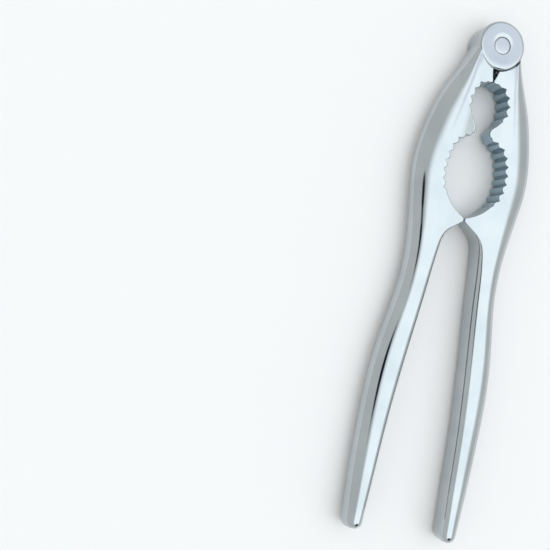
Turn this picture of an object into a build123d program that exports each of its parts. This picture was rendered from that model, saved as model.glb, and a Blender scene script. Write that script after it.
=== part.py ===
from build123d import *
import math
import os

# Lobster cracker, millimetres.
# It lies flat on its back: Z is up, the pivot axis is the Z axis, and the jaws and
# the handles run towards -Y. Closed, the two levers mirror each other about X = 0.

# Driving dimensions
thickness = 10.0            # over the round head
crest_thickness = 9.8       # over the crest of each lever, a little under the head
head_radius = 8.4
pin_radius = 3.0
tongue_thickness = 3.4      # middle layer of the head, on the right lever
layer_clearance = 0.1       # each side of the tongue, between the two ears
ring_clearance = 0.3        # round the outside of an ear and of the tongue
pin_running_fit = 0.05      # radial, in the tongue only; the ears grip the pin
pin_end_chamfer = 0.25
midline_gap = 0.12          # from the middle plane to each closed jaw
jaw_top_y = -12.4           # where the jaws close above the small opening
middle_spur_x = 2.6
middle_spur_y = -29.7
end_spur_y = -60.0          # where the two levers meet below the large opening
tip_y = -167.8
tip_round = 2.6             # length of the rounded end of a handle
tip_round_across = 1.9      # how much the rounded end narrows, each side
tooth_pitch = 2.9
tooth_depth = 1.2
tooth_mouth = 1.7           # width of a groove between two teeth, where it opens
small_teeth_start = 2.2     # along the wall of the openings, from where the jaws meet at the head
small_teeth_end = 14.2
large_teeth_start = 24.4
large_teeth_margin = 5.2    # and from the end spur

half = thickness / 2
crest = crest_thickness / 2
ear_inner_face = tongue_thickness / 2 + layer_clearance

# Sections of a lever, from its shoulder to the end of its handle, at a height y:
# (y, inner edge x, outer edge x, half height at the inner edge,
#  corner radius at the inner edge, width of the round outer side)
sections = [
    (2.0, 1.6, 7.4, 4.6, 0.5, 1.5),
    (-4.0, 1.4, 9.6, 4.5, 0.5, 2.8),
    (-9.0, 1.0, 11.7, 4.2, 0.5, 4.4),
    (-12.4, midline_gap, 13.3, 3.7, 0.5, 6.0),
    (-17.0, midline_gap, 15.4, 3.1, 0.5, 7.8),
    (-23.0, midline_gap, 17.6, 2.7, 0.5, 9.2),
    (-30.0, midline_gap, 19.4, 2.5, 0.5, 9.8),
    (-38.0, midline_gap, 20.8, 2.5, 0.5, 9.8),
    (-46.0, midline_gap, 21.1, 2.6, 0.5, 9.4),
    (-54.0, midline_gap, 20.2, 2.8, 0.5, 8.8),
    (end_spur_y, midline_gap, 19.3, 2.9, 0.5, 7.8),
    (-62.5, 2.6, 18.9, 3.4, 0.7, 7.2),
    (-66.0, 6.0, 18.4, 4.1, 1.1, 6.5),
    (-70.0, 7.2, 17.9, 4.6, 1.6, 6.0),
    (-77.0, 7.9, 17.5, 4.9, 2.1, 5.5),
    (-86.0, 8.6, 17.9, crest, 2.4, 5.4),
    (-97.0, 9.6, 19.5, crest, 2.6, 5.8),
    (-108.0, 10.7, 21.1, crest, 2.7, 6.2),
    (-120.0, 11.8, 21.9, crest, 2.7, 6.4),
    (-136.0, 12.9, 21.9, crest, 2.6, 6.2),
    (-152.0, 13.6, 21.4, crest, 2.5, 5.2),
    (-162.0, 14.1, 20.8, crest, 2.4, 4.2),
    (tip_y + tip_round, 14.2, 20.6, crest, 2.4, 3.8),
]

# Plan outline of the two openings on the right lever, from the head to the end spur;
# the rounded spur between them is at the seventh to ninth points
openings = [
    (midline_gap, jaw_top_y),
    (3.4, -13.9),
    (5.5, -16.8),
    (6.3, -20.8),
    (5.7, -24.4),
    (4.4, -26.8),
    (3.0, -28.1),
    (middle_spur_x, middle_spur_y),
    (3.4, -31.4),
    (7.2, -34.0),
    (9.6, -38.4),
    (10.6, -44.0),
    (9.8, -50.0),
    (7.4, -54.6),
    (3.8, -57.9),
    (midline_gap, end_spur_y),
]


def smooth_row(rows, k, share):
    """A row part of the way from row k to the next, on a smooth curve through its neighbours."""
    before, here, after, beyond = (rows[min(max(k + i, 0), len(rows) - 1)] for i in (-1, 0, 1, 2))
    step = here[0] - after[0]

    def slope(low, high, i):
        return (high[i] - low[i]) / (low[0] - high[0]) * step

    row = [here[0] - share * step]
    for i in range(1, len(here)):
        bend = (share ** 3 - 2 * share ** 2 + share) * slope(before, after, i)
        bend += (share ** 3 - share ** 2) * slope(here, beyond, i)
        blend = 3 * share ** 2 - 2 * share ** 3
        row.append(here[i] + (after[i] - here[i]) * blend + bend)
    return tuple(row)


def section_wire(y, inner, outer, inner_half, corner, round_side, top):
    """One closed section of a lever, across its length, about the middle of its thickness."""
    crest_x = outer - round_side
    cut = corner * (1 - math.cos(math.radians(45)))

    def corner_arc(sign):
        return [
            Vector(inner, y, sign * (inner_half - corner)),
            Vector(inner + cut, y, sign * (inner_half - cut)),
            Vector(inner + corner, y, sign * inner_half),
        ]

    side = [
        Vector(crest_x + round_side * math.sin(a), y, top * math.cos(a))
        for a in (math.pi * k / 8 for k in range(9))
    ]
    upper = corner_arc(1)
    lower = corner_arc(-1)
    return Wire([
        Edge.make_line(lower[0], upper[0]),
        Edge.make_spline(upper, tangents=[Vector(0, 0, 1), Vector(1, 0, 0)]),
        Edge.make_line(upper[-1], side[0]),
        Edge.make_spline(side, tangents=[Vector(1, 0, 0), Vector(-1, 0, 0)]),
        Edge.make_line(side[-1], lower[-1]),
        Edge.make_spline(lower[::-1], tangents=[Vector(-1, 0, 0), Vector(0, 0, 1)]),
    ])


def lever_blank():
    """A lever before its openings are cut: one smooth skin, and the rounded end of the handle."""
    rows = [smooth_row(sections, k, share) for k in range(len(sections) - 1) for share in (0, 0.5)]
    skin = Solid.make_loft([section_wire(*row, crest) for row in [*rows, sections[-1]]], ruled=True)
    _, inner, outer, _, corner, round_side = sections[-1]
    rings = []
    for angle in (math.radians(a) for a in (0, 30, 60, 90)):
        rise = tip_round * (1 - math.sin(angle))
        across = tip_round_across * (1 - math.cos(angle))
        top = crest - tip_round_across * (1 - math.cos(angle))
        rings.append(section_wire(
            tip_y + rise, inner + across, outer - across, top,
            corner - across, round_side - across, top,
        ))
    return skin + Solid.make_loft(rings, ruled=True)


def opening_cutter(points):
    """The straight-walled hole that the openings leave in a lever."""
    wall = Edge.make_spline([Vector(x, y, 0) for x, y in points])
    past_start = Vector(-1, points[0][1], 0)
    past_end = Vector(-1, points[-1][1], 0)
    rim = Wire([
        wall,
        Edge.make_line(wall @ 1, past_end),
        Edge.make_line(past_end, past_start),
        Edge.make_line(past_start, wall @ 0),
    ])
    return wall, extrude(Face(rim), half + 1, dir=(0, 0, 1), both=True)


def tooth_grooves(wall, first, last):
    """V grooves across the thickness, spaced along the wall of an opening."""
    grooves = []
    count = int((last - first) / tooth_pitch) + 1
    start = (first + last - (count - 1) * tooth_pitch) / 2
    for k in range(count):
        at = (start + k * tooth_pitch) / wall.length
        point, along = wall @ at, wall % at
        into = Vector(-along.Y, along.X, 0)
        if into.X < 0:
            into = into * -1
        lip = point - into * 0.3
        reach = tooth_mouth / 2 * (tooth_depth + 0.3) / tooth_depth
        vee = Polyline(lip - along * reach, lip + along * reach, point + into * tooth_depth, close=True)
        grooves.append(extrude(Face(Wire(vee.edges())), half + 1, dir=(0, 0, 1), both=True))
    return grooves


def disc(radius, low, high):
    """A round plate on the pivot axis, between two heights from the middle of the thickness."""
    return Pos(0, 0, low) * Cylinder(radius, high - low, align=(Align.CENTER, Align.CENTER, Align.MIN))


def toothed_blank():
    """The right-hand blank with both openings, its teeth, and its closing face."""
    beyond = Pos(midline_gap - 20, (jaw_top_y + tip_y) / 2, 0) * Box(40, jaw_top_y - tip_y, 3 * thickness)
    wall, hole = opening_cutter(openings)
    small_teeth = tooth_grooves(wall, small_teeth_start, small_teeth_end)
    large_teeth = tooth_grooves(wall, large_teeth_start, wall.length - large_teeth_margin)
    return lever_blank() - [beyond, hole, *small_teeth, *large_teeth]


def right_lever(blank):
    """The lever with the tongue: the middle layer of the head, and a recess round each ear."""
    body = blank
    for low, high in ((ear_inner_face - layer_clearance, half + 1), (-half - 1, -ear_inner_face + layer_clearance)):
        body = body - disc(head_radius + ring_clearance, low, high)
    body = body + disc(head_radius, -tongue_thickness / 2, tongue_thickness / 2)
    return body - disc(pin_radius + pin_running_fit, -half, half)


def left_lever(blank):
    """The lever with the fork: two ears with a slot between them for the tongue."""
    body = Rot(0, 180, 0) * blank
    body = body - disc(head_radius + ring_clearance, -ear_inner_face, ear_inner_face)
    body = body + disc(head_radius, ear_inner_face, half) + disc(head_radius, -half, -ear_inner_face)
    return body - disc(pin_radius, -half - 1, half + 1)


def pivot_pin():
    """A plain pin through the head, flush with both ears."""
    pin = disc(pin_radius, -half, half)
    return chamfer(pin.edges().filter_by(GeomType.CIRCLE), pin_end_chamfer)


os.makedirs("parts", exist_ok=True)
shared_blank = toothed_blank()
nodes = {
    "left_lever": left_lever(shared_blank),
    "right_lever": right_lever(shared_blank),
    "pivot_pin": pivot_pin(),
}
for name, shape in nodes.items():
    export_step(Pos(0, 0, half) * shape, f"parts/{name}.step")
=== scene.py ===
import math

import bmesh
import bpy
import numpy as np
from mathutils import Matrix, Vector


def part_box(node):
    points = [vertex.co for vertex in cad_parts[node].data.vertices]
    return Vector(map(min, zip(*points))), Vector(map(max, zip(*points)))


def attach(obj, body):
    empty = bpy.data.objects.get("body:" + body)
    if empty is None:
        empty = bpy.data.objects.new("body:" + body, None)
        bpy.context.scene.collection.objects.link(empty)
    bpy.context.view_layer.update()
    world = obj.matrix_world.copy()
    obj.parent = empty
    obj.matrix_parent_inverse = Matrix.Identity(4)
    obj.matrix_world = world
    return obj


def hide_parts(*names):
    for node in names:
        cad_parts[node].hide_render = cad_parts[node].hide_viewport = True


# Lobster cracker: two chromed levers on one pivot pin, lying on its back on a pale table.
# The meshes are worked out in millimetres about the pivot axis and the middle of the
# thickness, then scaled and lifted into the frame.

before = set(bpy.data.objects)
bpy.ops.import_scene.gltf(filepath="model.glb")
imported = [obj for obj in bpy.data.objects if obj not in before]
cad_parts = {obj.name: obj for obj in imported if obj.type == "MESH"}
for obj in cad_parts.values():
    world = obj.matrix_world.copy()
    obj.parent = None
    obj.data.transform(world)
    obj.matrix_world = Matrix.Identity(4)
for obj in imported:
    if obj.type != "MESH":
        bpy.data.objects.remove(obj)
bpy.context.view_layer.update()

MM = 0.001
EAR_LOW, EAR_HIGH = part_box("left_lever")
PIN_LOW, PIN_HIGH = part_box("pivot_pin")
HALF = (EAR_HIGH.z - EAR_LOW.z) / 2 / MM          # half the thickness of the round head
HEAD_RADIUS = EAR_HIGH.y / MM
PIN_RADIUS = (PIN_HIGH.x - PIN_LOW.x) / 2 / MM
CREST = HALF - 0.1                                # half height along the crest of a lever

MIDLINE_GAP = 0.12            # from the middle plane to each closed jaw
TIP_ROUND = 2.6               # length of the rounded end of a handle
TIP_ACROSS = 1.9              # how much the rounded end narrows, each side
TOOTH_PITCH = 2.9
TOOTH_DEPTH = 1.1
TOOTH_FADE = 3.0              # over this length the teeth at the ends of a row get shallow
JAW_EDGE = 0.42               # rounding of the jaw edges
GRIP_CORNER = 2.7             # rounding of the handle's inner edge, at most
GRIP_Y = -70.0                # below this the inner wall follows the sections of the handle

TONGUE_HALF = 1.7             # half the middle layer of the head
LAYER_CLEARANCE = 0.1         # each side of the tongue
RING_CLEARANCE = 0.3          # round the outside of an ear and of the tongue
TONGUE_EDGE = 0.2             # bevel round the tongue
EAR_EDGE = 0.25               # bevel round the hidden face of an ear
RIM_ROUND = 1.15              # rounding of the rim of the disc
DISH_RADIUS = 4.9             # shallow dish round the pin
DISH_DEPTH = 0.18
PIN_FIT = 0.05                # radial, in the tongue only
PIN_SHANK = PIN_RADIUS - 0.07
PIN_END = 0.3                 # rounding of the end of the pin
PIN_SINK = 0.02               # its end lies this far under the face of the ear
PIN_DOME = 0.1

# A lever at a height y: (y, inner edge x, outer edge x, half height at the inner edge,
# corner radius at the inner edge, width of the round outer side)
SECTIONS = np.array([
    (2.0, 1.6, 7.4, 4.6, 0.5, 1.5),
    (-4.0, 1.4, 9.6, 4.5, 0.5, 2.8),
    (-9.0, 1.0, 11.7, 4.2, 0.5, 4.4),
    (-12.4, MIDLINE_GAP, 13.3, 3.7, 0.5, 6.0),
    (-17.0, MIDLINE_GAP, 15.4, 3.1, 0.5, 7.8),
    (-23.0, MIDLINE_GAP, 17.6, 2.7, 0.5, 9.2),
    (-30.0, MIDLINE_GAP, 19.4, 2.5, 0.5, 9.8),
    (-38.0, MIDLINE_GAP, 20.8, 2.5, 0.5, 9.8),
    (-46.0, MIDLINE_GAP, 21.1, 2.6, 0.5, 9.4),
    (-54.0, MIDLINE_GAP, 20.2, 2.8, 0.5, 8.8),
    (-60.0, MIDLINE_GAP, 19.3, 2.9, 0.5, 7.8),
    (-62.5, 2.6, 18.9, 3.4, 0.7, 7.2),
    (-66.0, 6.0, 18.4, 4.1, 1.1, 6.5),
    (-70.0, 7.2, 17.9, 4.6, 1.6, 6.0),
    (-77.0, 7.9, 17.5, CREST, 2.1, 5.5),
    (-86.0, 8.6, 17.9, CREST, 2.4, 5.4),
    (-97.0, 9.6, 19.5, CREST, 2.6, 5.8),
    (-108.0, 10.7, 21.1, CREST, 2.7, 6.2),
    (-120.0, 11.8, 21.9, CREST, 2.7, 6.4),
    (-136.0, 12.9, 21.9, CREST, 2.6, 6.2),
    (-152.0, 13.6, 21.4, CREST, 2.5, 5.2),
    (-162.0, 14.1, 20.8, CREST, 2.4, 4.2),
    (-165.2, 14.2, 20.6, CREST, 2.4, 3.8),
])

# Plan of the inner wall of the right lever: shoulder, both openings with the spur between them,
# and the fork where the handles part
SHOULDER = [(1.6, 2.0), (1.4, -4.0), (1.0, -9.0), (-0.1, -12.6)]
OPENINGS = [
    (-0.1, -12.6), (3.4, -13.9), (5.5, -16.8), (6.3, -20.8), (5.7, -24.4), (4.4, -26.8),
    (3.0, -28.1), (2.6, -29.7), (3.4, -31.4), (7.2, -34.0), (9.6, -38.4), (10.6, -44.0),
    (9.8, -50.0), (7.4, -54.6), (3.8, -57.9), (-0.5, -60.0),
]
FORK = [(-0.5, -60.2), (2.6, -62.7), (4.7, -64.4), (6.0, -66.0), (6.8, -68.0), (7.2, -70.0)]
TOOTHED = [(1.6, 5), (22.9, 9)]   # along the openings: where each row of teeth starts, how many

# How the mesh is laid out
PLAN_STEP = 0.05              # along the plan curves
SPUR_SOFTNESS = 0.5           # rounds the plan of the inner wall
WALL_SOFTNESS = 2.0           # smooths the direction the teeth are cut in
FAN_SOFTNESS = 4.0            # how evenly the sections spread along the outer edge
FAN_REACH = 3.0               # how far the sections run square to the wall
SECTIONS_PER_TOOTH = 14
JAW_STRIDE = 0.3              # between sections along the plain parts of the jaws
GRIP_STRIDE = 1.2             # and along the handle
WALL_STEPS, EDGE_STEPS, TOP_STEPS, SIDE_STEPS = 3, 7, 15, 16
TIP_STEPS = 10
SHARP_EDGE = 32               # degrees: softer bends than this are shaded smooth


# ---- curves -----------------------------------------------------------------------------

def natural_spline(knots, values, at):
    """A natural cubic spline through values (rows) at increasing knots, evaluated at `at`."""
    knots, values = np.asarray(knots, float), np.asarray(values, float)
    flat = values.ndim == 1
    values = values.reshape(len(knots), -1)
    n = len(knots)
    h = np.diff(knots)
    system = np.eye(n)
    rhs = np.zeros_like(values)
    for i in range(1, n - 1):
        system[i, i - 1:i + 2] = h[i - 1], 2 * (h[i - 1] + h[i]), h[i]
        rhs[i] = 6 * ((values[i + 1] - values[i]) / h[i] - (values[i] - values[i - 1]) / h[i - 1])
    bend = np.linalg.solve(system, rhs)
    at = np.clip(np.atleast_1d(at), knots[0], knots[-1])
    k = np.clip(np.searchsorted(knots, at) - 1, 0, n - 2)
    width = h[k][:, None]
    a = (knots[k + 1] - at)[:, None] / width
    b = 1 - a
    found = (a * values[k] + b * values[k + 1]
             + ((a ** 3 - a) * bend[k] + (b ** 3 - b) * bend[k + 1]) * width ** 2 / 6)
    return found[:, 0] if flat else found


def arc_lengths(points):
    """Distance along a path at each of its points."""
    steps = np.linalg.norm(np.diff(points, axis=0), axis=1)
    return np.concatenate([[0], np.cumsum(steps)])


def evenly_spaced(path):
    """Distances in equal steps along a plan path, and its points there."""
    along = arc_lengths(path)
    at = np.linspace(0, along[-1], int(along[-1] / PLAN_STEP) + 1)
    return at, np.column_stack([np.interp(at, along, path[:, c]) for c in range(2)])


def spline_path(points):
    """A smooth plan curve through the points, in equal steps."""
    points = np.array(points, float)
    knots = arc_lengths(points)
    return evenly_spaced(natural_spline(knots, points, np.linspace(0, knots[-1], 600)))[1]


def soften(values, softness):
    """Gaussian smoothing of rows in equal steps, with both ends kept."""
    reach = int(3 * softness / PLAN_STEP)
    kernel = np.exp(-0.5 * (np.arange(-reach, reach + 1) * PLAN_STEP / softness) ** 2)
    kernel /= kernel.sum()
    before = 2 * values[0] - values[reach:0:-1]
    after = 2 * values[-1] - values[-2:-reach - 2:-1]
    padded = np.vstack([before, values, after])
    columns = range(values.shape[1])
    return np.column_stack([np.convolve(padded[:, c], kernel, "valid") for c in columns])


def section_values(y):
    """Inner edge, outer edge, inner half height, corner radius and side width at heights y."""
    return natural_spline(-SECTIONS[:, 0], SECTIONS[:, 1:], -np.asarray(y, float))


# ---- the inner wall and its teeth ---------------------------------------------------------

def inner_wall():
    """Stations down the inner wall: plan points, the direction into the metal, how deep the teeth
    are cut, the height where each section ends, and how far it runs square to the wall."""
    grip = SECTIONS[SECTIONS[:, 0] <= GRIP_Y][:, [1, 0]]
    parts = [spline_path(p) for p in (SHOULDER, OPENINGS, FORK, grip)]
    starts = np.concatenate([[0], np.cumsum([arc_lengths(p)[-1] for p in parts])])
    even, path = evenly_spaced(np.vstack([parts[0]] + [p[1:] for p in parts[1:]]))
    wall = soften(path, SPUR_SOFTNESS)
    wall[:, 0] = np.maximum(wall[:, 0], MIDLINE_GAP)

    rows = [(starts[1] + first, starts[1] + first + count * TOOTH_PITCH) for first, count in TOOTHED]
    cut = np.zeros(len(even))
    for low, high in rows:
        inside = (even >= low) & (even <= high)
        at = even[inside]
        ribs = 1 - np.abs(np.sin(math.pi * (at - low) / TOOTH_PITCH))
        fade = np.clip(np.minimum(at - low + 1.0, high + 1.0 - at) / TOOTH_FADE, 0, 1)
        cut[inside] = TOOTH_DEPTH * ribs * fade

    stations = []
    s = 0.0
    while s < even[-1] - 0.2:
        stations.append(s)
        if any(low - 0.01 <= s < high - 0.01 for low, high in rows):
            s += TOOTH_PITCH / SECTIONS_PER_TOOTH
        else:
            next_row = min([low for low, _ in rows if low > s], default=even[-1])
            s = min(s + (JAW_STRIDE if s < starts[2] + 8 else GRIP_STRIDE), next_row)
    stations.append(even[-1])

    def at_stations(values):
        return np.interp(stations, even, values)

    tangent = np.gradient(soften(path, WALL_SOFTNESS), PLAN_STEP, axis=0)
    into = np.column_stack([-tangent[:, 1], tangent[:, 0]])
    into /= np.linalg.norm(into, axis=1)[:, None]
    near_teeth = soften((cut > 0).astype(float)[:, None], WALL_SOFTNESS)[:, 0]
    return (
        np.column_stack([at_stations(wall[:, c]) for c in range(2)]),
        np.column_stack([at_stations(into[:, c]) for c in range(2)]),
        at_stations(cut),
        at_stations(soften(path[:, 1:], FAN_SOFTNESS)[:, 0]),
        FAN_REACH * at_stations(np.clip(0.1 + near_teeth, 0, 1)),
    )


# ---- one lever arm ----------------------------------------------------------------------

def blend_down(a, b, width):
    """The lower of two heights, with a soft change from one to the other."""
    width = np.maximum(width, 1e-6)
    return np.minimum(a, b) - np.maximum(width - np.abs(a - b), 0) ** 2 / (4 * width)


def top_height(x, y):
    """Half height of a lever at plan points inside its outer edge."""
    inner, outer, inner_half, corner, side = section_values(np.ravel(y)).T
    x = np.ravel(x)
    crest_x = outer - side
    run = np.maximum(crest_x - inner - corner, 0.1)
    rise = inner_half + (CREST - inner_half) * (x - inner - corner) / run
    past = np.clip((x - crest_x) / side, 0, 1)
    rounded_side = CREST * np.sqrt(1 - past ** 2)
    return blend_down(rise, rounded_side, 0.9 * (CREST - inner_half) / 2.4)


def share_of_way(gone, start_speed, whole):
    """Where a bent section is, from 0 to 1, once it has gone a distance.
    It sets off at start_speed and covers the whole distance at 1."""
    return 2 * gone / (start_speed + np.sqrt(start_speed ** 2 + 4 * (whole - start_speed) * gone) + 1e-9)


def arm_rings():
    """Closed sections from the shoulder to the rounded end of the handle.
    Each runs square to the inner wall, then bends to the outer edge."""
    points, into, depth, outer_y, reach = inner_wall()
    _, outer_x, _, corner, side = section_values(outer_y).T
    outer = np.column_stack([outer_x, outer_y])
    reach = np.minimum(reach, 0.35 * (outer_x - points[:, 0]))
    bend = points + into * reach[:, None]
    start_speed = 2 * reach
    whole = np.linalg.norm(outer - points, axis=1)

    def plan(t):
        t = np.asarray(t)[:, None]
        return (1 - t) ** 2 * points + 2 * t * (1 - t) * bend + t ** 2 * outer

    def at_x(x):
        return share_of_way(x - points[:, 0], 2 * (bend - points)[:, 0], (outer - points)[:, 0])

    def at_distance(d):
        return share_of_way(d, start_speed, whole)

    wall = at_distance(depth)
    grip = np.clip((-61.0 - points[:, 1]) / 3, 0, 1)      # 0 on the jaws, 1 on the handle
    edge = JAW_EDGE + (np.clip(corner, JAW_EDGE, GRIP_CORNER) - JAW_EDGE) * grip
    edge_end = at_distance(depth + edge)
    crest_x = np.maximum(outer_x - side, plan(edge_end)[:, 0] + 0.2)
    side_start = np.maximum(at_x(crest_x), edge_end + 0.01)
    side_distance = start_speed * side_start + (whole - start_speed) * side_start ** 2
    lip = top_height(*plan(edge_end).T)

    columns = []

    def add(t, z=None):
        x, y = plan(t).T
        columns.append((x, y, top_height(x, y) if z is None else z))

    for k in range(WALL_STEPS + 1):
        add(wall, (lip - edge) * k / WALL_STEPS)
    for a in np.linspace(0, math.pi / 2, EDGE_STEPS + 1)[1:]:
        add(at_distance(depth + edge * (1 - math.cos(a))), lip - edge + edge * math.sin(a))
    for t in np.linspace(0, 1, TOP_STEPS + 1)[1:-1]:
        add(at_distance((depth + edge) * (1 - t) + side_distance * t))
    for a in np.linspace(0, math.pi / 2, SIDE_STEPS + 1)[:-1]:
        add(at_x(crest_x + (outer_x - crest_x) * math.sin(a)))
    add(np.ones(len(outer_x)), np.zeros(len(outer_x)))

    upper = np.array(columns).transpose(2, 0, 1)
    lower = upper[:, -2:0:-1] * [1, 1, -1]
    rings = list(np.concatenate([upper, lower], axis=1))
    last = rings[-1]
    centre = (last.max(axis=0) + last.min(axis=0)) / 2
    span = (last.max(axis=0) - last.min(axis=0)) / 2
    for a in np.linspace(0, math.pi / 2, TIP_STEPS + 1)[1:]:
        less = TIP_ACROSS * (1 - math.cos(a))
        ring = centre + (last - centre) * [1 - less / span[0], 1, 1 - less / span[2]]
        ring[:, 1] = last[:, 1] - TIP_ROUND * math.sin(a)
        rings.append(ring)
    return rings


def mesh_from_rings(name, rings):
    """A closed skin over equal rings, capped at both ends."""
    count = len(rings[0])
    verts = [tuple(p) for ring in rings for p in ring]
    faces = []
    for i in range(len(rings) - 1):
        a, b = i * count, (i + 1) * count
        for j in range(count):
            k = (j + 1) % count
            faces.append((a + j, b + j, b + k, a + k))
    last = (len(rings) - 1) * count
    for base, order in ((0, 1), (last, -1)):
        ring = [base + j for j in range(count)]
        centre = np.mean([verts[i] for i in ring], axis=0)
        verts.append(tuple(centre))
        for j in range(count):
            pair = (ring[j], ring[(j + 1) % count])
            faces.append((len(verts) - 1, *pair[::order]))
    return mesh_object(name, verts, faces)


def mesh_object(name, verts, faces):
    """A new object from points and faces, with doubled points merged and normals outwards."""
    mesh = bpy.data.meshes.new(name)
    mesh.from_pydata([tuple(v) for v in verts], [], faces)
    work = bmesh.new()
    work.from_mesh(mesh)
    bmesh.ops.remove_doubles(work, verts=work.verts, dist=1e-5)
    bmesh.ops.dissolve_degenerate(work, edges=work.edges, dist=1e-6)
    bmesh.ops.recalc_face_normals(work, faces=work.faces)
    work.to_mesh(mesh)
    work.free()
    obj = bpy.data.objects.new(name, mesh)
    bpy.context.scene.collection.objects.link(obj)
    return obj


def lathe(name, profile, steps=192):
    """A solid turned about the pivot axis.
    Its profile of (radius, z) points is closed, or starts and ends on the axis."""
    verts, faces = [], []
    count = len(profile)
    for i in range(steps):
        a = 2 * math.pi * i / steps
        verts += [(r * math.cos(a), r * math.sin(a), z) for r, z in profile]
    spans = count if profile[0][0] > 0 else count - 1
    for i in range(steps):
        a, b = i * count, (i + 1) % steps * count
        faces += [(a + j, b + j, b + (j + 1) % count, a + (j + 1) % count) for j in range(spans)]
    return mesh_object(name, verts, faces)


def rounded(corner, radius, start, end, steps=10):
    """Profile points of a rounded corner: an arc about `corner` between two angles in degrees."""
    return [
        (corner[0] + radius * math.cos(a), corner[1] + radius * math.sin(a))
        for a in np.radians(np.linspace(start, end, steps))
    ]


def combine(obj, tool, operation):
    """Add a solid to an object, or cut it away, and drop the solid."""
    change = obj.modifiers.new("combine", "BOOLEAN")
    change.operation = operation
    change.solver = "MANIFOLD"
    change.object = tool
    bpy.context.view_layer.update()
    shown = obj.evaluated_get(bpy.context.evaluated_depsgraph_get())
    mesh = bpy.data.meshes.new_from_object(shown)
    obj.modifiers.clear()
    obj.data = mesh
    bpy.data.objects.remove(tool)


def plug(name, radius, low, high):
    """A round plate on the pivot axis, between two heights."""
    return lathe(name, [(0, low), (radius, low), (radius, high), (0, high)])


# ---- head pieces ------------------------------------------------------------------------

def ear_profile():
    """Front ear: flat face, rounded rim, and a shallow dish round the pin."""
    inner_face = TONGUE_HALF + LAYER_CLEARANCE
    inside = PIN_RADIUS * 0.6                     # the bore is cut later, and takes this away
    hidden = [
        (inside, inner_face), (HEAD_RADIUS - EAR_EDGE, inner_face), (HEAD_RADIUS, inner_face + EAR_EDGE),
    ]
    rim = rounded((HEAD_RADIUS - RIM_ROUND, HALF - RIM_ROUND), RIM_ROUND, 0, 90)
    dish = [
        (inside + (DISH_RADIUS - inside) * t, HALF - DISH_DEPTH * (1 - t * t * (3 - 2 * t)))
        for t in np.linspace(1, 0, 12)
    ]
    return hidden + rim + dish


def tongue_profile():
    """The middle layer of the head, with bevelled edges."""
    face = TONGUE_HALF
    return [
        (PIN_RADIUS / 2, -face), (HEAD_RADIUS - TONGUE_EDGE, -face), (HEAD_RADIUS, -face + TONGUE_EDGE),
        (HEAD_RADIUS, face - TONGUE_EDGE), (HEAD_RADIUS - TONGUE_EDGE, face), (PIN_RADIUS / 2, face),
    ]


def left_lever(rings):
    """The lever with the fork: two ears with a slot between them for the tongue."""
    lever = mesh_from_rings("left_lever_chrome", [ring * [-1, 1, 1] for ring in rings])
    face = TONGUE_HALF + LAYER_CLEARANCE
    combine(lever, plug("slot", HEAD_RADIUS + RING_CLEARANCE, -face, face), "DIFFERENCE")
    front = ear_profile()
    combine(lever, lathe("ear_front", front), "UNION")
    combine(lever, lathe("ear_back", [(r, -z) for r, z in front]), "UNION")
    combine(lever, plug("bore", PIN_RADIUS, -HALF - 1, HALF + 1), "DIFFERENCE")
    return lever


def right_lever(rings):
    """The lever with the tongue, and a recess round each ear."""
    lever = mesh_from_rings("right_lever_chrome", rings)
    for low, high in ((TONGUE_HALF, HALF + 1), (-HALF - 1, -TONGUE_HALF)):
        combine(lever, plug("recess", HEAD_RADIUS + RING_CLEARANCE, low, high), "DIFFERENCE")
    combine(lever, lathe("tongue", tongue_profile()), "UNION")
    combine(lever, plug("bore", PIN_RADIUS + PIN_FIT, -HALF - 1, HALF + 1), "DIFFERENCE")
    return lever


def pin():
    """The pin: a plain shank with a slightly domed, soft-edged end on each side."""
    end = HALF - PIN_SINK
    flat = PIN_SHANK - PIN_END
    dome = [(r, end - PIN_DOME * (r / PIN_SHANK) ** 2) for r in np.linspace(0, flat, 8)]
    upper = dome + rounded((flat, end - PIN_DOME - PIN_END), PIN_END, 84, 0, 7)
    return lathe("pivot_pin_steel", upper + [(r, -z) for r, z in upper[::-1]])


def settle(obj, material, node, body):
    """Scale and lift a finished mesh into the frame, shade it, and tie it to its body."""
    obj.data.transform(Matrix.Translation((0, 0, HALF * MM)) @ Matrix.Scale(MM, 4))
    obj.data.materials.clear()
    obj.data.materials.append(material)
    for p in obj.data.polygons:
        p.use_smooth = True
        p.material_index = 0
    obj.data.set_sharp_from_angle(angle=math.radians(SHARP_EDGE))
    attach(obj, body)
    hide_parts(node)


# ---- materials --------------------------------------------------------------------------

# Painted shade makes the plating darker in hollows, and a painted reflection makes it darker and bluer
# on the upright walls between the jaws:
# the dark colour of the metal times these
PAINTED_HOLLOW_SHADE = (0.2, 0.28, 0.34)
PAINTED_WALL_REFLECTION = (0.74, 0.89, 0.97)


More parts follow.
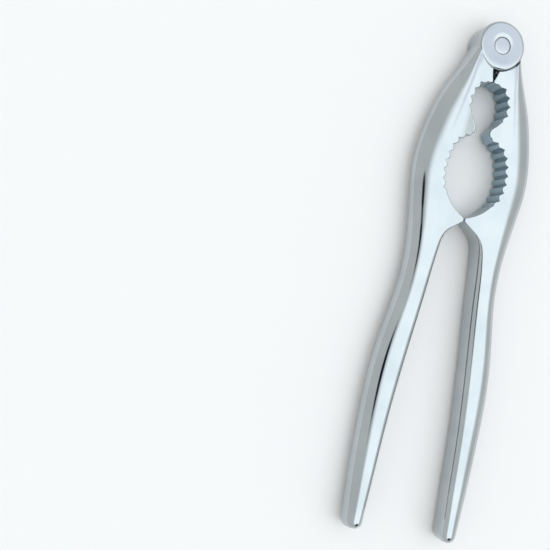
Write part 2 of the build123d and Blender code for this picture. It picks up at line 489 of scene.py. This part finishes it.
def metal(name, dark, light, rough_low, rough_high, wave):
    """Bright metal: slight tone change, uneven polish, painted shade in hollows, a painted darker, bluer
    reflection on the walls between the jaws, faint waves and fine scratches.
    """
    material = bpy.data.materials.new(name)
    material.use_nodes = True
    nodes, links = material.node_tree.nodes, material.node_tree.links
    shader = nodes["Principled BSDF"]
    shader.inputs["Metallic"].default_value = 1.0
    shape = nodes.new("ShaderNodeTexCoord")
    place = shape.outputs["Object"]

    def noise(scale, detail, stretch=(1, 1, 1)):
        squeeze = nodes.new("ShaderNodeMapping")
        squeeze.inputs["Scale"].default_value = stretch
        links.new(place, squeeze.inputs["Vector"])
        n = nodes.new("ShaderNodeTexNoise")
        n.inputs["Scale"].default_value = scale
        n.inputs["Detail"].default_value = detail
        links.new(squeeze.outputs["Vector"], n.inputs["Vector"])
        return n.outputs["Fac"]

    def ramp(source, low, high, a=0, b=1):
        r = nodes.new("ShaderNodeMapRange")
        r.inputs["From Min"].default_value = low
        r.inputs["From Max"].default_value = high
        r.inputs["To Min"].default_value = a
        r.inputs["To Max"].default_value = b
        links.new(source, r.inputs["Value"])
        return r.outputs["Result"]

    def blend(base, colour, share):
        mix = nodes.new("ShaderNodeMix")
        mix.data_type = "RGBA"
        if isinstance(base, tuple):
            mix.inputs["A"].default_value = (*base, 1)
        else:
            links.new(base, mix.inputs["A"])
        mix.inputs["B"].default_value = (*colour, 1)
        links.new(share, mix.inputs["Factor"])
        return mix.outputs["Result"]

    def jaw_wall_reflection_mask():
        """Where the painted reflection goes: one on the upright walls of the openings, fading to nothing
        just outside them.
        """
        where = nodes.new("ShaderNodeSeparateXYZ")
        links.new(place, where.inputs["Vector"])
        facing = nodes.new("ShaderNodeSeparateXYZ")
        links.new(shape.outputs["Normal"], facing.inputs["Vector"])
        x, y, upright = where.outputs["X"], where.outputs["Y"], facing.outputs["Z"]
        limits = [
            (upright, 0.9, 0.4), (upright, -0.9, -0.4),
            (x, 0.0122, 0.0118), (x, -0.0122, -0.0118),
            (y, -0.0105, -0.0125), (y, -0.0625, -0.060),
        ]
        inside = [ramp(*limit) for limit in limits]
        whole = inside[0]
        for part in inside[1:]:
            times = nodes.new("ShaderNodeMath")
            times.operation = "MULTIPLY"
            links.new(whole, times.inputs[0])
            links.new(part, times.inputs[1])
            whole = times.outputs["Value"]
        return whole

    def shade(factors):
        return [c * f for c, f in zip(dark, factors)]

    def bump(strength, distance, height):
        n = nodes.new("ShaderNodeBump")
        n.inputs["Strength"].default_value = strength
        n.inputs["Distance"].default_value = distance
        links.new(height, n.inputs["Height"])
        return n

    colour = blend(dark, light, ramp(noise(90, 3), 0.35, 0.65))
    hollow = nodes.new("ShaderNodeNewGeometry").outputs["Pointiness"]
    # painted shade: the colour darkens where the surface is hollow, as in the valleys between the teeth
    colour = blend(colour, shade(PAINTED_HOLLOW_SHADE), ramp(hollow, 0.495, 0.44, 0, 0.8))
    # painted reflection: a darker, bluer colour on the upright walls between the jaws
    colour = blend(colour, shade(PAINTED_WALL_REFLECTION), jaw_wall_reflection_mask())
    links.new(colour, shader.inputs["Base Color"])

    links.new(ramp(noise(260, 5), 0.3, 0.7, rough_low, rough_high), shader.inputs["Roughness"])

    waves = bump(1.0, wave, noise(130, 1))
    scratches = bump(0.35, 0.0000015, noise(2600, 2, (1, 0.06, 1)))
    links.new(waves.outputs["Normal"], scratches.inputs["Normal"])
    links.new(scratches.outputs["Normal"], shader.inputs["Normal"])
    return material


def table_material():
    material = bpy.data.materials.new("table_pale")
    material.use_nodes = True
    shader = material.node_tree.nodes["Principled BSDF"]
    shader.inputs["Base Color"].default_value = (0.955, 0.935, 0.925, 1)
    shader.inputs["Roughness"].default_value = 0.75
    shader.inputs["Specular IOR Level"].default_value = 0.2
    return material


# ---- studio -----------------------------------------------------------------------------

def lay_floor():
    bpy.ops.mesh.primitive_plane_add(size=6, location=(0, -0.08, 0))
    floor = bpy.context.active_object
    floor.name = "table"
    floor.data.materials.append(table_material())


ROOM = (0.76, 0.785, 0.78)        # radiance of the room between the panels
# (towards, full within degrees, none beyond degrees, radiance)
PANELS = [
    ((0.36, -0.10, 0.93), 26, 44, (1.60, 1.71, 1.77)),
    ((0.36, 0.50, 0.79), 13, 17, (1.20, 1.26, 1.40)),
    ((-0.45, 0.01, 0.88), 5, 8, (0.02, 0.025, 0.035)),
    ((0.45, -0.68, 0.58), 14, 18, (0.03, 0.04, 0.05)),
]


def light_room():
    """A soft room, as radiance by direction: two bright panels and two small dark gaps."""
    world = bpy.data.worlds.new("soft_room")
    bpy.context.scene.world = world
    world.use_nodes = True
    nodes, links = world.node_tree.nodes, world.node_tree.links
    direction = nodes.new("ShaderNodeTexCoord").outputs["Generated"]
    current = None
    for towards, full, none, panel in PANELS:
        dot = nodes.new("ShaderNodeVectorMath")
        dot.operation = "DOT_PRODUCT"
        links.new(direction, dot.inputs[0])
        dot.inputs[1].default_value = Vector(towards).normalized()
        fade = nodes.new("ShaderNodeMapRange")
        fade.interpolation_type = "SMOOTHSTEP"
        fade.inputs["From Min"].default_value = math.cos(math.radians(none))
        fade.inputs["From Max"].default_value = math.cos(math.radians(full))
        links.new(dot.outputs["Value"], fade.inputs["Value"])
        mix = nodes.new("ShaderNodeMix")
        mix.data_type = "RGBA"
        mix.inputs["B"].default_value = (*panel, 1)
        links.new(fade.outputs["Result"], mix.inputs["Factor"])
        if current is None:
            mix.inputs["A"].default_value = (*ROOM, 1)
        else:
            links.new(current, mix.inputs["A"])
        current = mix.outputs["Result"]
    links.new(current, nodes["Background"].inputs["Color"])
    nodes["Background"].inputs["Strength"].default_value = 1.0


# Camera: turns about the object, its distance from the middle of the levers, and its aim
CAMERA_SIDE = math.radians(24.81)
CAMERA_LOW = math.radians(4.46)
CAMERA_ROLL = math.radians(11.32)
CAMERA_DISTANCE = 0.300
CAMERA_LENS = 56.71
AIM_ACROSS = math.radians(11.36)
AIM_UP = math.radians(-0.13)
LOOK_AT = Vector((0, -0.080, 0.005))


def place_camera():
    """Stand the camera off to one side, then turn it so that the cracker sits at the right."""
    a, b, r = CAMERA_SIDE, CAMERA_LOW, CAMERA_ROLL
    right = Vector((math.cos(a), 0, math.sin(a)))
    up = Vector((-math.sin(a) * math.sin(b), math.cos(b), math.cos(a) * math.sin(b)))
    back = Vector((-math.sin(a) * math.cos(b), -math.sin(b), math.cos(a) * math.cos(b)))
    across = math.cos(r) * right + math.sin(r) * up
    upward = -math.sin(r) * right + math.cos(r) * up
    c, d = AIM_ACROSS, AIM_UP
    turn = Matrix(((math.cos(c), 0, math.sin(c)), (0, 1, 0), (-math.sin(c), 0, math.cos(c))))
    tip = Matrix(((1, 0, 0), (0, math.cos(d), math.sin(d)), (0, -math.sin(d), math.cos(d))))
    axes = turn @ tip @ Matrix((across, upward, -back))
    data = bpy.data.cameras.new("camera")
    data.lens = CAMERA_LENS
    data.sensor_width = 36
    data.clip_start = 0.01
    camera = bpy.data.objects.new("camera", data)
    bpy.context.scene.collection.objects.link(camera)
    spin = Matrix((axes[0], axes[1], -axes[2])).transposed().to_4x4()
    camera.matrix_world = Matrix.Translation(LOOK_AT + back * CAMERA_DISTANCE) @ spin
    bpy.context.scene.camera = camera


chrome = metal("chrome_plate", (0.455, 0.49, 0.51), (0.50, 0.53, 0.545), 0.03, 0.09, 0.00003)
steel = metal("pin_steel", (0.45, 0.475, 0.50), (0.52, 0.54, 0.565), 0.12, 0.22, 0.00001)
arm = arm_rings()
settle(left_lever(arm), chrome, "left_lever", "left_arm")
settle(right_lever(arm), chrome, "right_lever", "right_arm")
settle(pin(), steel, "pivot_pin", "left_arm")
lay_floor()
light_room()
place_camera()
bpy.context.scene.view_settings.view_transform = "Standard"
